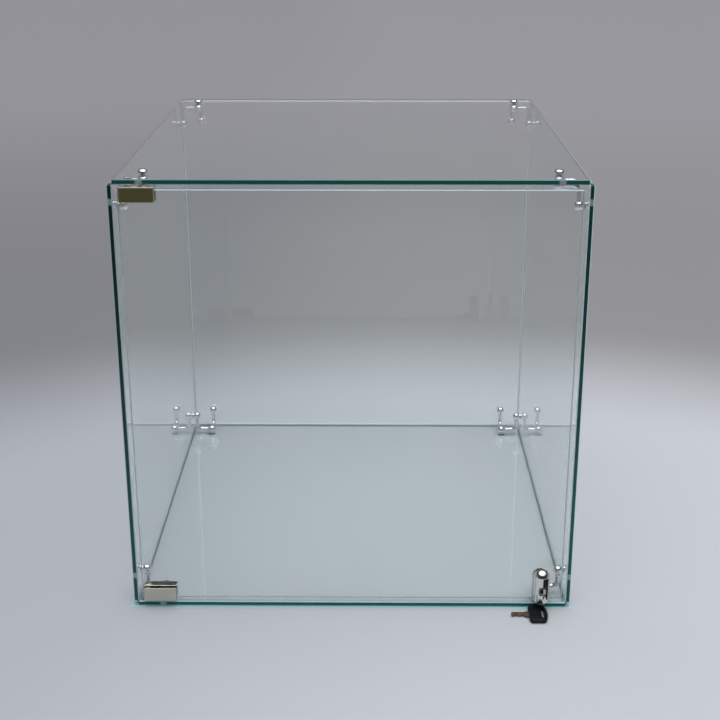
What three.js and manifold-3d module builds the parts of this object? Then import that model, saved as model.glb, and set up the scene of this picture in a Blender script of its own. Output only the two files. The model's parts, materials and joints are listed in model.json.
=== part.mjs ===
// Clear glass display case for a counter: six panels that meet in open corner seams, held by
// polished rod-and-ball connectors, with a pivoting lockable front door and its loose key.
// Millimetres. +Z is up, the door faces -Y, and the origin is the centre of the underside.

import * as THREE from 'three';
import { mergeVertices } from 'three/addons/utils/BufferGeometryUtils.js';
import Module from 'manifold-3d';

const wasm = await Module();
wasm.setup();

// ---- Driving dimensions -------------------------------------------------------------------

// Case
const caseWidth = 450;
const caseDepth = 450;
const caseHeight = 450;
const glassThickness = 5;
const arris = 0.8; // ground bevel along every panel edge
const seam = 0.4; // gap between panels that meet
const fit = 0.3; // clearance between seated pieces
const overlap = 0.4; // how far the solids of one piece run into each other
const past = 1; // how far a cutting tool runs past the face that it opens
const edgeBreak = 0.5; // chamfer on turned pins and cast rims

// Corner connectors
const connectorInset = 25; // ball centre to the neighbouring panel's face or front edge
const ballRadius = 4.75;
const ballStandoff = 5.6; // glass face to ball centre
const stemRadius = 3.2; // flat seat under each ball
const boreDepth = 4.6; // threaded hole, measured from the glass face
const rodRadius = 2.4;
const rodBend = 7;
const neckRadius = 1.6;
const neckLength = 1.6;

// Connector screws
const screwRadius = 1.8;
const screwHeadRadius = 4;
const screwHeadDepth = 2.2;
const domeRadius = 5;
const domeHeight = 3.7;
const domeEdge = 0.5; // straight rim under the dome
const domeCollarRadius = 3.3;
const domeCollarHeight = 0.8;
const socketRadius = 1.1;
const socketDepth = 1.3;

// Door
const doorSideGap = 4;
const doorEndGap = 4.5;
const pivotInset = 14; // pivot axis to the inner face of the side panel
const pivotSetback = 8.5; // pivot axis to the front face of the door

// Hinges
const hingeLength = 34;
const hingeHeight = 14.6;
const hingeLift = 2; // gap between hinge and panel, filled by the bush flange
const hingeOverhang = 8.5; // hinge end to pivot axis
const hingeFrontWall = 3;
const hingeRearWall = 8.7;
const hingeCorner = 2.5;
const hingeBevel = 0.5;
const pivotPinRadius = 1.8;
const pivotPinGrip = 10; // length held in the hinge
const bushWall = 0.9;
const bushStop = 0.5; // end of the bush to the panel's outer face
const bushFlangeRadius = 4.5;
const bushFlangeHeight = 1.4;
const plateLength = 14.4;
const plateHeight = 9;
const plateThickness = 1.2;
const plateStart = 8.3; // pivot axis to the plate's near end
const plateLift = 0.8; // floor of the glass slot to the plate
const clampScrewRadius = 1.9;
const clampScrewSpacing = 7.4;

// Lock
const lockInset = 25.5; // lock axis to the inner face of the side panel
const lockWidth = 16.5;
const lockDepth = 11;
const plugHeight = 24; // lock axis above the surface that the case stands on
const lockSkirt = 14; // housing below the lock axis
const lockCrown = 21; // housing above the lock axis
const plugRadius = 3.9;
const plugFaceRadius = 5.2;
const plugFaceDepth = 0.8;
const keywayWidth = 1.4;
const keywayHeight = 6;
const keywayDepth = 9;
const lockBossRadius = 6.4;
const lockBossReach = 1.4; // boss and plug past the door's inner face
const gasketThickness = 0.6;
const gasketInset = 0.4;
const camThickness = 1.2;
const camRadius = 6.2;
const crankThrow = 4.8;
const crankRadius = 1.1;
const crankLength = 3.1;
const driveSquare = 4;
const boltCaseLift = 0.7; // gap between the bolt case and the strike's flange
const boltCaseCrown = 4; // bolt case above its screws
const boltCaseDepth = 9.7;
const boltCaseWall = 1.4;
const boltPlateHalfWidth = 6.5;
const boltPlateHalfHeight = 3.6;
const boltRadius = 2.4;
const boltProud = 0.2; // end of the drawn bolt below its case
const crankSlotHalfHeight = 2.4;
const caseScrewSpread = 4.8;
const caseScrewRise = 10; // screws above the lock axis
const caseScrewRadius = 1.4;
const caseScrewHeadRadius = 2.6;
const caseScrewHeadDepth = 1.4;
const caseScrewGrip = 4.8; // length held in the housing
const caseScrewSocketRadius = 0.9;
const caseScrewSocketDepth = 1;
const strikeRunning = 0.4;
const strikeWall = 0.9;
const strikeFlangeRadius = 5.2;
const strikeFlangeHeight = 0.8;
const strikeBarrelStop = 0.4; // height of the barrel's lower end

// Key
const keyBowLength = 19.5;
const keyBowWidth = 28.5;
const keyBowThickness = 4.4;
const keyBowCorner = 4;
const keyBowBulge = 2.6;
const keyBowBevel = 0.7;
const keySlotLength = 18;
const keySlotWidth = 2.6;
const keySlotCorner = 1.2;
const keySlotFromEnd = 4.2;
const keyBladeReach = 18;
const keyBladeGrip = 8;
const keyBladeWidth = 7.4;
const keyTipWidth = 4.6;
const keyBladeThickness = 2;
const keyBladeBevel = 0.2;
const keyShoulder = 2; // full-width blade outside the bow
const keyTaper = 3; // from the shoulder to the width of the tip
const keyNose = 1; // straight edge between the round tip and the first cut
const keyCutDepths = [1.9, 0.8, 1.5]; // from the tip towards the bow
const keyCutPitch = 3.4;
const keyCutRun = 1.1; // length of each ramp and of each flat
const keyShift = 13.9; // near end of the bow to the lock axis
const keyGapToCase = 2.8;

// Facet counts
const holeSides = 12;
const ballSides = 12;
const rodSides = 10;
const rodSteps = 8;
const screwSides = 12;
const lockSides = 24;
const boreSides = 20;
const bushSides = 16;
const crownSteps = 7;

// ---- Derived places -----------------------------------------------------------------------

const floorTop = glassThickness;
const ceiling = caseHeight - glassThickness;
const midHeight = caseHeight / 2;
const innerHalfWidth = caseWidth / 2 - glassThickness;
const frontFace = -caseDepth / 2;
const backInner = caseDepth / 2 - glassThickness;
const wallHeight = ceiling - floorTop - 2 * seam;
const hubOffset = innerHalfWidth - connectorInset;
const hubFrontY = frontFace + connectorInset;
const hubBackY = backInner - connectorInset;
const pivotX = -innerHalfWidth + pivotInset;
const pivotY = frontFace + pivotSetback;
const lockX = innerHalfWidth - lockInset;
const doorInner = frontFace + glassThickness;
const lockBottom = plugHeight - lockSkirt;
const lockTop = plugHeight + lockCrown;
const boltCaseBottom = floorTop + fit + strikeFlangeHeight + boltCaseLift;
const boltTip = boltCaseBottom - boltProud;
const caseScrewHeight = plugHeight + caseScrewRise;
const boltCaseTop = caseScrewHeight + boltCaseCrown;
const caseScrewXs = [lockX - caseScrewSpread, lockX + caseScrewSpread];

// ---- Materials ----------------------------------------------------------------------------

const finishes = {
  glass: { color: '#bcd6d3', roughness: 0.03, metalness: 0, transparent: true, opacity: 0.35 },
  chrome: { color: '#d4d6d8', roughness: 0.08, metalness: 1 },
  satinSteel: { color: '#a7a39a', roughness: 0.35, metalness: 1 },
  steel: { color: '#8d8f92', roughness: 0.4, metalness: 1 },
  nylon: { color: '#e4e3dd', roughness: 0.5, metalness: 0 },
  fibre: { color: '#2a2b2c', roughness: 0.8, metalness: 0 },
  brass: { color: '#8a6a4c', roughness: 0.35, metalness: 1 },
  blackPlastic: { color: '#17171a', roughness: 0.45, metalness: 0 },
};

// ---- Solid helpers ------------------------------------------------------------------------

/** Turns a closed three.js geometry into a manifold solid. */
function solid(geometry) {
  const bare = geometry.clone();
  bare.deleteAttribute('normal');
  bare.deleteAttribute('uv');
  const welded = mergeVertices(bare, 1e-5);
  return new wasm.Manifold(new wasm.Mesh({
    numProp: 3,
    vertProperties: new Float32Array(welded.attributes.position.array),
    triVerts: new Uint32Array(welded.index.array),
  }));
}

/** Turns a manifold solid back into a geometry. */
function geometryOf(body) {
  const mesh = body.getMesh();
  const geometry = new THREE.BufferGeometry();
  geometry.setAttribute('position', new THREE.BufferAttribute(mesh.vertProperties, 3));
  geometry.setIndex(new THREE.BufferAttribute(mesh.triVerts, 1));
  geometry.computeVertexNormals();
  return geometry;
}

const join = (...parts) => geometryOf(parts.map(solid).reduce((a, b) => a.add(b)));

const cut = (base, ...tools) =>
  geometryOf(tools.map(solid).reduce((a, b) => a.subtract(b), solid(base)));

/** Box between two corners, given per axis as [low, high]. */
function box([x1, x2], [y1, y2], [z1, z2]) {
  return new THREE.BoxGeometry(x2 - x1, y2 - y1, z2 - z1)
    .translate((x1 + x2) / 2, (y1 + y2) / 2, (z1 + z2) / 2);
}

/** Solid turned about Z from [radius, height] points, listed upwards along the outside. */
function turned(profile, sides) {
  return new THREE.LatheGeometry(profile.map(([r, z]) => new THREE.Vector2(r, z)), sides)
    .rotateX(Math.PI / 2);
}

/** Round bar along Z. */
const bar = (radius, z1, z2, sides) => turned([[0, z1], [radius, z1], [radius, z2], [0, z2]], sides);

/** Round bar along Y, with its axis at x, z. */
const barAlongY = (radius, y1, y2, x, z, sides) =>
  bar(radius, y1, y2, sides).rotateX(-Math.PI / 2).translate(x, 0, z);

/** Points of a circular arc in the profile plane, from one angle to another, in steps. */
function arc(centreR, centreZ, radius, from, to, steps) {
  return Array.from({ length: steps + 1 }, (_, i) => {
    const angle = from + ((to - from) * i) / steps;
    return [centreR + radius * Math.cos(angle), centreZ + radius * Math.sin(angle)];
  });
}

/** Flat outline extruded along +Z with bevelled rims, its lower face at z = 0. */
function slab(shape, thickness, bevel, curveSegments = 5) {
  return new THREE.ExtrudeGeometry(shape, {
    depth: thickness - 2 * bevel,
    bevelEnabled: bevel > 0,
    bevelThickness: bevel,
    bevelSize: bevel,
    bevelOffset: -bevel,
    bevelSegments: 1,
    curveSegments,
  }).translate(0, 0, bevel);
}

/** Rectangle with rounded corners, given by its lower-left corner and its size. */
function roundedRectangle(x, y, width, height, radius) {
  const shape = new THREE.Shape();
  shape.absarc(x + width - radius, y + radius, radius, -Math.PI / 2, 0);
  shape.absarc(x + width - radius, y + height - radius, radius, 0, Math.PI / 2);
  shape.absarc(x + radius, y + height - radius, radius, Math.PI / 2, Math.PI);
  shape.absarc(x + radius, y + radius, radius, Math.PI, 1.5 * Math.PI);
  shape.closePath();
  return shape;
}

/** Turns an object whose own +Z is its outward side, so that it faces a given direction. */
function face(object, outward, up) {
  const side = new THREE.Vector3().crossVectors(up, outward);
  object.quaternion.setFromRotationMatrix(new THREE.Matrix4().makeBasis(side, up, outward));
  return object;
}

const group = new THREE.Group();

/** Adds one named piece to a parent. */
function addPiece(parent, name, geometry, finish) {
  const mesh = new THREE.Mesh(geometry, new THREE.MeshStandardMaterial(finishes[finish]));
  mesh.name = name;
  parent.add(mesh);
  return mesh;
}

// ---- Glass panels -------------------------------------------------------------------------

const axisX = new THREE.Vector3(1, 0, 0);
const axisY = new THREE.Vector3(0, 1, 0);
const axisZ = new THREE.Vector3(0, 0, 1);

/** Each panel: its outward side, its own up direction, its inner face's centre and its size. */
const panels = {
  bottom: {
    outward: axisZ.clone().negate(), up: axisY, centre: new THREE.Vector3(0, 0, floorTop),
    width: 2 * innerHalfWidth, height: caseDepth, cutters: [],
  },
  top: {
    outward: axisZ, up: axisY, centre: new THREE.Vector3(0, 0, ceiling),
    width: 2 * innerHalfWidth, height: caseDepth, cutters: [],
  },
  left: {
    outward: axisX.clone().negate(), up: axisZ,
    centre: new THREE.Vector3(-innerHalfWidth, 0, midHeight),
    width: caseDepth, height: wallHeight, cutters: [],
  },
  right: {
    outward: axisX, up: axisZ, centre: new THREE.Vector3(innerHalfWidth, 0, midHeight),
    width: caseDepth, height: wallHeight, cutters: [],
  },
  back: {
    outward: axisY, up: axisZ, centre: new THREE.Vector3(0, backInner, midHeight),
    width: 2 * (innerHalfWidth - seam), height: wallHeight, cutters: [],
  },
  door: {
    outward: axisY.clone().negate(), up: axisZ,
    centre: new THREE.Vector3(0, doorInner, midHeight),
    width: 2 * (innerHalfWidth - doorSideGap),
    height: ceiling - floorTop - 2 * doorEndGap, cutters: [],
  },
};

/** A point of the case in a panel's own plane. */
function onPanel(panel, point) {
  const offset = point.clone().sub(panel.centre);
  const side = new THREE.Vector3().crossVectors(panel.up, panel.outward);
  return [offset.dot(side), offset.dot(panel.up)];
}

/** Drills a panel at a point of the case; a sunk hole also takes a flat screw head. */
function drill(panel, point, radius, sunk = false) {
  const [x, y] = onPanel(panel, point);
  const mouth = glassThickness + past;
  const sinkRadius = screwHeadRadius + 2 * fit;
  const sink = [[radius, glassThickness - screwHeadDepth], [sinkRadius, glassThickness],
    [sinkRadius, mouth]];
  const profile = [[0, -past], [radius, -past], ...(sunk ? sink : [[radius, mouth]]), [0, mouth]];
  panel.cutters.push(turned(profile, holeSides).translate(x, y, 0));
}

/** Glass plate with ground edges, its inner face at z = 0. */
function glassPlate({ width, height, cutters }) {
  const outline = new THREE.Shape();
  outline.moveTo(-width / 2, -height / 2);
  outline.lineTo(width / 2, -height / 2);
  outline.lineTo(width / 2, height / 2);
  outline.lineTo(-width / 2, height / 2);
  outline.closePath();
  return cut(slab(outline, glassThickness, arris), ...cutters);
}

// ---- Corner connectors --------------------------------------------------------------------

/** Path of a connector arm: straight out, a quarter turn, and straight along the next panel. */
class ArmPath extends THREE.Curve {
  constructor(outward, along) {
    super();
    this.outward = outward;
    this.along = along;
    this.start = ballRadius + neckLength - overlap;
    this.leg = connectorInset - ballStandoff;
    this.turn = (Math.PI / 2) * rodBend;
    this.straight = this.leg - rodBend - this.start;
    this.total = 2 * this.straight + this.turn;
  }

  getPoint(t, target = new THREE.Vector3()) {
    const s = t * this.total;
    let out = this.leg;
    let rise = this.leg - this.start - (this.total - s);
    if (s < this.straight) {
      out = this.start + s;
      rise = 0;
    } else if (s < this.straight + this.turn) {
      const angle = (s - this.straight) / rodBend;
      out = this.leg - rodBend + rodBend * Math.sin(angle);
      rise = rodBend - rodBend * Math.cos(angle);
    }
    return target.copy(this.outward).multiplyScalar(out).addScaledVector(this.along, rise);
  }
}

/** Ball with a flat seat and a blind threaded hole, its seat towards a given direction. */
function ball(seat) {
  const bore = screwRadius + fit;
  const seatAngle = -Math.acos(stemRadius / ballRadius);
  const shape = turned([
    [0, boreDepth - ballStandoff],
    [bore, boreDepth - ballStandoff],
    [bore, fit - ballStandoff],
    [stemRadius, fit - ballStandoff],
    ...arc(0, 0, ballRadius, seatAngle, Math.PI / 2, ballSides / 3).slice(0, -1),
    [0, ballRadius],
  ], ballSides);
  const turn = new THREE.Quaternion().setFromUnitVectors(axisZ.clone().negate(), seat);
  return shape.applyQuaternion(turn);
}

/** Thin neck between a ball at a centre and the rod that leaves it in a direction. */
function neck(direction, centre) {
  return bar(neckRadius, ballRadius - 2 * overlap, ballRadius + neckLength, rodSides)
    .applyQuaternion(new THREE.Quaternion().setFromUnitVectors(axisZ, direction))
    .translate(centre.x, centre.y, centre.z);
}

/** Hub ball at the origin with one bent arm and end ball for each outward direction. */
function connector(along, outwards) {
  const hub = new THREE.Vector3();
  const pieces = [ball(along.clone().negate())];
  const section = new THREE.Shape().absarc(0, 0, rodRadius, 0, 2 * Math.PI);
  const leg = connectorInset - ballStandoff;
  for (const outward of outwards) {
    const end = outward.clone().add(along).multiplyScalar(leg);
    pieces.push(
      neck(outward, hub),
      new THREE.ExtrudeGeometry(section, {
        steps: rodSteps, curveSegments: rodSides / 2, extrudePath: new ArmPath(outward, along),
      }),
      neck(along.clone().negate(), end),
      ball(outward).translate(end.x, end.y, end.z),
    );
  }
  return join(...pieces);
}

/** Flat-headed screw, its head's face at z = 0 and its shank down -Z. */
function flushScrew() {
  const tip = -(glassThickness + boreDepth - fit);
  const blank = turned([
    [0, tip], [screwRadius, tip], [screwRadius, -screwHeadDepth],
    [screwHeadRadius, -fit], [0, -fit],
  ], screwSides);
  return cut(blank, bar(socketRadius, -fit - socketDepth, past, 6));
}

/** Domed cap screw, its collar seated at z = 0 and its shank down -Z. */
function domeScrew() {
  const tip = -(glassThickness + boreDepth - fit);
  const rim = fit + domeCollarHeight;
  const crown = arc(0, 0, 1, 0, Math.PI / 2, 4)
    .map(([r, z]) => [r * domeRadius, rim + domeEdge + z * (domeHeight - domeEdge)]);
  return turned([
    [0, tip], [screwRadius, tip], [screwRadius, fit], [domeCollarRadius, fit],
    [domeCollarRadius, rim], [domeRadius, rim], ...crown.slice(0, -1), [0, rim + domeHeight],
  ], screwSides);
}

/** Fits one connector end: drills the panel and adds its screw from outside. */
function fasten(name, panel, point) {
  const domed = panel === panels.top;
  drill(panel, point, screwRadius + fit, !domed);
  const screw = addPiece(group, name, domed ? domeScrew() : flushScrew(), 'chrome');
  face(screw, panel.outward, panel.up);
  screw.position.copy(point).addScaledVector(panel.outward, glassThickness);
}

for (const level of ['bottom', 'top']) {
  const along = panels[level].outward.clone().negate();
  const levelFace = panels[level].centre.z;
  for (const side of ['left', 'right']) {
    const sideways = panels[side].outward;
    for (const end of ['front', 'back']) {
      const place = `${end}_${side}_${level}`;
      const seat = new THREE.Vector3(
        sideways.x * hubOffset, end === 'front' ? hubFrontY : hubBackY, levelFace);
      const fixings = { [level]: seat };
      fixings[side] = seat.clone().addScaledVector(sideways, connectorInset)
        .addScaledVector(along, connectorInset);
      if (end === 'back') {
        fixings.back = seat.clone().addScaledVector(axisY, connectorInset)
          .addScaledVector(along, connectorInset);
      }
      const outwards = end === 'back' ? [sideways, axisY] : [sideways];
      const piece = addPiece(group, `connector_${place}`, connector(along, outwards), 'chrome');
      piece.position.copy(seat).addScaledVector(along, ballStandoff);
      for (const [panelName, point] of Object.entries(fixings)) {
        const kind = panelName === 'top' ? 'cap_screw' : 'screw';
        fasten(`${kind}_${panelName}_panel_${place}`, panels[panelName], point);
      }
    }
  }
}

// ---- Door hinges --------------------------------------------------------------------------

/** Ring-shaped bush with a flange, its flange seated above z = 0 and its barrel below. */
function bush(boreRadius, wall, barrelLength, flangeRadius, flangeHeight) {
  const outer = boreRadius + wall;
  return turned([
    [boreRadius, -barrelLength], [outer, -barrelLength], [outer, fit], [flangeRadius, fit],
    [flangeRadius, fit + flangeHeight], [boreRadius, fit + flangeHeight],
    [boreRadius, -barrelLength],
  ], bushSides);
}

/** One clamp hinge with its plate, screws, pin and bush, at the bottom or top of the door. */
function addHinge(level) {
  const panel = panels[level];
  const rise = level === 'bottom' ? 1 : -1;
  const span = (low, high) => [rise * low, rise * high].sort((a, b) => a - b);
  const slotFront = -pivotSetback - fit;
  const slotRear = glassThickness - pivotSetback + fit;
  const front = slotFront - hingeFrontWall;
  const rear = slotRear + hingeRearWall;
  const top = hingeLift + hingeHeight;
  const slotFloor = doorEndGap - fit;
  const plateX = [plateStart, plateStart + plateLength];
  const plateZ = [slotFloor + plateLift, slotFloor + plateLift + plateHeight];
  const screwZ = (plateZ[0] + plateZ[1]) / 2;
  const plateMiddle = (plateX[0] + plateX[1]) / 2;
  const screwXs = [plateMiddle - clampScrewSpacing / 2, plateMiddle + clampScrewSpacing / 2];
  const plateRear = slotRear + plateThickness;
  const corner = new THREE.Vector3(pivotX, pivotY, panel.centre.z);

  const holder = new THREE.Group();
  holder.position.copy(corner);
  group.add(holder);

  const outline = roundedRectangle(-hingeOverhang, front, hingeLength, rear - front, hingeCorner);
  const bodyZ = span(hingeLift, top);
  const grip = span(0, hingeLift + pivotPinGrip);
  const pocket = [plateX[0] - fit, plateX[1] + fit];
  addPiece(holder, `hinge_body_${level}`, cut(
    slab(outline, hingeHeight, hingeBevel, 3).translate(0, 0, bodyZ[0]),
    box([-hingeLength, 2 * hingeLength], [slotFront, slotRear], span(slotFloor, 2 * top)),
    box(pocket, [slotRear - overlap, plateRear + fit], span(plateZ[0] - fit, plateZ[1] + fit)),
    bar(pivotPinRadius + fit, grip[0], grip[1], holeSides),
    ...screwXs.map((x) => barAlongY(
      clampScrewRadius + fit, plateRear, rear + past, x, rise * screwZ, screwSides)),
  ), 'satinSteel');

  addPiece(holder, `clamp_plate_${level}`,
    box(plateX, [slotRear, plateRear], span(...plateZ)), 'steel');

  screwXs.forEach((x, i) => {
    const z = rise * screwZ;
    addPiece(holder, `clamp_screw_${level}_${i + 1}`, cut(
      barAlongY(clampScrewRadius, plateRear + fit, rear - fit, x, z, screwSides),
      barAlongY(socketRadius, rear - fit - socketDepth, rear + past, x, z, 6),
    ), 'steel');
  });

  const [pinLow, pinHigh] = span(fit + bushStop - glassThickness, hingeLift + pivotPinGrip - fit);
  addPiece(holder, `pivot_pin_${level}`, turned([
    [0, pinLow], [pivotPinRadius - edgeBreak, pinLow], [pivotPinRadius, pinLow + edgeBreak],
    [pivotPinRadius, pinHigh - edgeBreak], [pivotPinRadius - edgeBreak, pinHigh], [0, pinHigh],
  ], screwSides), 'steel');

  const bore = pivotPinRadius + fit;
  const seat = addPiece(holder, `pivot_bush_${level}`,
    bush(bore, bushWall, glassThickness - bushStop, bushFlangeRadius, bushFlangeHeight), 'nylon');
  face(seat, panel.outward.clone().negate(), panel.up);
  drill(panel, corner, bore + bushWall + fit);
}

addHinge('bottom');
addHinge('top');

// ---- Door lock ----------------------------------------------------------------------------

/** Bullet outline: a flat base, straight sides and a round top, drawn in x and height. */
function bulletOutline(halfWidth, bottom, top) {
  const outline = new THREE.Shape();
  outline.moveTo(-halfWidth, bottom);
  outline.lineTo(halfWidth, bottom);
  outline.absarc(0, top - halfWidth, halfWidth, 0, Math.PI);
  outline.closePath();
  return outline;
}

/** A bullet outline extruded from one y to another, facing the front. */
function bulletPlate(outline, y1, y2, bevel) {
  return slab(outline, y2 - y1, bevel, crownSteps).rotateX(Math.PI / 2)
    .translate(lockX, y2, 0);
}

const lockRadius = lockWidth / 2;
const housingBack = frontFace - 2 * fit - gasketThickness;
const bulletAxisY = frontFace - (lockDepth - lockRadius);
const plugFace = frontFace - lockDepth + plugFaceDepth;
const caseFront = doorInner + fit;
const caseRear = caseFront + boltCaseDepth;
const bossEnd = doorInner + lockBossReach;
const camFront = bossEnd + fit;
const camRear = camFront + camThickness;
const boltFront = camRear + fit;
const boltRear = caseRear - boltCaseWall - fit;
const boltY = (boltFront + boltRear) / 2;

/** Bullet-shaped front housing with the threaded boss that passes through the door. */
function lockHousing() {
  const bullet = turned([
    [0, lockBottom], [lockRadius - edgeBreak, lockBottom], [lockRadius, lockBottom + edgeBreak],
    ...arc(0, lockTop - lockRadius, lockRadius, 0, Math.PI / 2, crownSteps).slice(0, -1),
    [0, lockTop],
  ], lockSides).translate(lockX, bulletAxisY, 0);
  const root = bulletPlate(bulletOutline(lockRadius, lockBottom, lockTop), bulletAxisY,
    housingBack, 0);
  const boss = barAlongY(lockBossRadius, housingBack - overlap, bossEnd, lockX, plugHeight,
    boreSides);
  const half = box([lockX - lockWidth, lockX + lockWidth], [housingBack, housingBack + lockWidth],
    [0, 2 * lockTop]);
  return cut(join(cut(bullet, half), root, boss),
    barAlongY(plugRadius + fit, frontFace - 2 * lockDepth, bossEnd + past, lockX, plugHeight,
      boreSides),
    barAlongY(plugFaceRadius, frontFace - 2 * lockDepth, plugFace, lockX, plugHeight, boreSides),
    ...caseScrewXs.map((x) => barAlongY(caseScrewRadius + fit,
      housingBack - caseScrewGrip, housingBack + past, x, caseScrewHeight, screwSides)));
}

addPiece(group, 'lock_housing', lockHousing(), 'chrome');

addPiece(group, 'lock_gasket', cut(
  bulletPlate(bulletOutline(lockRadius - gasketInset, lockBottom + gasketInset,
    lockTop - gasketInset), housingBack + fit, housingBack + fit + gasketThickness, 0),
  barAlongY(lockBossRadius + fit, housingBack, frontFace + past, lockX, plugHeight, boreSides),
  ...caseScrewXs.map((x) => barAlongY(caseScrewRadius + 2 * fit, housingBack, frontFace + past, x,
    caseScrewHeight, screwSides)),
), 'fibre');

drill(panels.door, new THREE.Vector3(lockX, doorInner, plugHeight), lockBossRadius + fit);
for (const x of caseScrewXs) {
  drill(panels.door, new THREE.Vector3(x, doorInner, caseScrewHeight), caseScrewRadius + 2 * fit);
}

const squareX = [lockX - driveSquare / 2, lockX + driveSquare / 2];
const squareZ = [plugHeight - driveSquare / 2, plugHeight + driveSquare / 2];
addPiece(group, 'lock_plug', join(cut(
  barAlongY(plugRadius, plugFace - fit, bossEnd, lockX, plugHeight, boreSides),
  box([lockX - keywayWidth / 2, lockX + keywayWidth / 2],
    [plugFace - past, plugFace + keywayDepth],
    [plugHeight - keywayHeight / 2, plugHeight + keywayHeight / 2]),
), box(squareX, [bossEnd - overlap, camRear], squareZ)), 'satinSteel');

const looseSquareX = [squareX[0] - fit, squareX[1] + fit];
const looseSquareZ = [squareZ[0] - fit, squareZ[1] + fit];
addPiece(group, 'lock_cam', cut(join(
  barAlongY(camRadius, camFront, camRear, lockX, plugHeight, lockSides),
  barAlongY(crankRadius, camRear - overlap, camRear + crankLength, lockX + crankThrow,
    plugHeight, rodSides),
), box(looseSquareX, [camFront - past, camRear + past], looseSquareZ)), 'steel');

const crankReach = crankThrow + crankRadius + fit;
const boltShankTop = plugHeight - (boltPlateHalfHeight + crankSlotHalfHeight) / 2;
addPiece(group, 'lock_bolt', cut(join(
  box([lockX - boltPlateHalfWidth, lockX + boltPlateHalfWidth], [boltFront, boltRear],
    [plugHeight - boltPlateHalfHeight, plugHeight + boltPlateHalfHeight]),
  turned([
    [0, boltTip], [boltRadius - edgeBreak, boltTip], [boltRadius, boltTip + edgeBreak],
    [boltRadius, boltShankTop], [0, boltShankTop],
  ], bushSides).translate(lockX, boltY, 0),
), box([lockX - crankRadius - 2 * fit, lockX + crankReach], [boltFront - past, boltRear + past],
  [plugHeight - crankSlotHalfHeight, plugHeight + crankSlotHalfHeight])), 'steel');

const cavityHalfWidth = boltPlateHalfWidth + fit;
const cavityTop = plugHeight + camRadius + fit;
addPiece(group, 'lock_bolt_case', cut(
  bulletPlate(bulletOutline(lockRadius, boltCaseBottom, boltCaseTop), caseFront, caseRear,
    edgeBreak),
  box([lockX - cavityHalfWidth, lockX + cavityHalfWidth],
    [caseFront - past, caseRear - boltCaseWall], [boltCaseBottom + boltCaseWall, cavityTop]),
  bar(boltRadius + fit, 0, plugHeight, bushSides).translate(lockX, boltY, 0),
  ...caseScrewXs.map((x) => turned([
    [0, 0], [caseScrewRadius + fit, 0],
    [caseScrewRadius + fit, boltCaseDepth - caseScrewHeadDepth - fit],
    [caseScrewHeadRadius + 2 * fit, boltCaseDepth],
    [caseScrewHeadRadius + 2 * fit, boltCaseDepth + past],
    [0, boltCaseDepth + past],
  ], screwSides).rotateX(-Math.PI / 2).translate(x, caseFront, caseScrewHeight)),
), 'satinSteel');

caseScrewXs.forEach((x, i) => {
  const tip = housingBack - caseScrewGrip + fit - caseRear;
  const screw = addPiece(group, `lock_screw_${i + 1}`, cut(turned([
    [0, tip], [caseScrewRadius, tip], [caseScrewRadius, -caseScrewHeadDepth - fit],
    [caseScrewHeadRadius, -fit], [0, -fit],
  ], screwSides), bar(caseScrewSocketRadius, -fit - caseScrewSocketDepth, past, 6)), 'steel');
  face(screw, axisY, axisZ);
  screw.position.set(x, caseRear, caseScrewHeight);
});

const strikeBore = boltRadius + strikeRunning;
const strikeCentre = new THREE.Vector3(lockX, boltY, floorTop);
addPiece(group, 'strike_bush', bush(strikeBore, strikeWall, floorTop - strikeBarrelStop,
  strikeFlangeRadius, strikeFlangeHeight), 'nylon').position.copy(strikeCentre);
drill(panels.bottom, strikeCentre, strikeBore + strikeWall + fit);

// ---- Key ----------------------------------------------------------------------------------

const keyMiddleY = frontFace - keyGapToCase - keyBowWidth / 2;

/** Moulded bow: rounded towards the blade, bulged at its free end, with a ring slot. */
function keyBow() {
  const half = keyBowWidth / 2;
  const straight = keyBowLength - keyBowBulge;
  const outline = new THREE.Shape();
  outline.absarc(keyBowCorner, -half + keyBowCorner, keyBowCorner, Math.PI, 1.5 * Math.PI);
  outline.lineTo(straight - keyBowCorner, -half);
  outline.quadraticCurveTo(straight, -half, straight + keyBowBulge / 3, -half + keyBowCorner);
  outline.quadraticCurveTo(keyBowLength + keyBowBulge / 2, 0, straight + keyBowBulge / 3,
    half - keyBowCorner);
  outline.quadraticCurveTo(straight, half, straight - keyBowCorner, half);
  outline.absarc(keyBowCorner, half - keyBowCorner, keyBowCorner, Math.PI / 2, Math.PI);
  outline.closePath();
  const slot = roundedRectangle(keyBowLength - keySlotFromEnd - keySlotWidth, -keySlotLength / 2,
    keySlotWidth, keySlotLength, keySlotCorner);
  const room = keyBladeThickness / 2 + fit;
  return cut(slab(outline, keyBowThickness, keyBowBevel, 4),
    slab(slot, keyBowThickness + 2 * past, 0, 3).translate(0, 0, -past),
    box([-past, keyBladeGrip + fit], [-keyBladeWidth / 2 - fit, keyBladeWidth / 2 + fit],
      [keyBowThickness / 2 - room, keyBowThickness / 2 + room]));
}

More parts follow.
